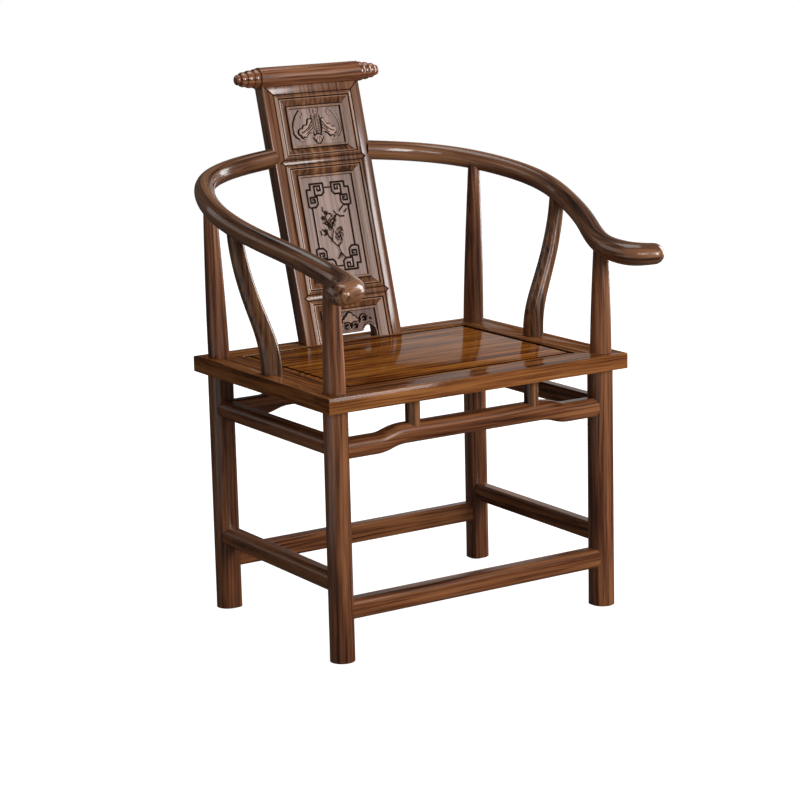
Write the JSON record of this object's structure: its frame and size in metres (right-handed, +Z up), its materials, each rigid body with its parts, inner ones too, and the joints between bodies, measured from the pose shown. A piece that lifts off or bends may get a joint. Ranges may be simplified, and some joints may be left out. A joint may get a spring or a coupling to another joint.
{
  "type": "horseshoe back armchair",
  "caption": "Hardwood armchair with a horseshoe arm rail on round posts, a leaning carved splat under a scroll head rail, a panelled seat and humpback stretchers.",
  "frame": {"origin": "on the floor, under the middle of the chair's bounding box", "axes": "+Z up, -Y out of the chair's front, +X on the right of a person who faces that front"},
  "size_m": [0.7194, 0.6711, 0.9649],
  "materials": {
    "frame_wood": "semi-gloss lacquer",
    "seat_panel_wood": "semi-gloss lacquer",
    "splat_panel_wood": "satin, carved in low relief"
  },
  "bodies": {
    "root": {"arm_rail_left": "frame_wood", "arm_rail_right": "frame_wood", "crest_rail_left": "frame_wood", "crest_rail_right": "frame_wood", "foot_rail_front": "frame_wood", "head_scroll": "frame_wood", "humpback_stretcher_back": "frame_wood", "humpback_stretcher_front": "frame_wood", "leg_back_left": "frame_wood", "leg_back_right": "frame_wood", "leg_front_left": "frame_wood", "leg_front_right": "frame_wood", "rail_scarf_pegs": "frame_wood", "seat_batten_left": "frame_wood", "seat_batten_right": "frame_wood", "seat_panel": "seat_panel_wood", "seat_rail_back": "frame_wood", "seat_rail_front": "frame_wood", "seat_rail_left": "frame_wood", "seat_rail_right": "frame_wood", "side_post_left": "frame_wood", "side_post_right": "frame_wood", "splat_bottom_panel": "splat_panel_wood", "splat_lower_rail": "frame_wood", "splat_middle_panel": "splat_panel_wood", "splat_stile_left": "frame_wood", "splat_stile_right": "frame_wood", "splat_top_panel": "splat_panel_wood", "splat_top_rail": "frame_wood", "splat_upper_rail": "frame_wood", "stretcher_lower_back": "frame_wood", "stretcher_lower_left": "frame_wood", "stretcher_lower_right": "frame_wood", "stretcher_upper_left": "frame_wood", "stretcher_upper_right": "frame_wood", "strut_back_left": "frame_wood", "strut_back_right": "frame_wood", "strut_front_left": "frame_wood", "strut_front_right": "frame_wood"}
  },
  "joints": []
}
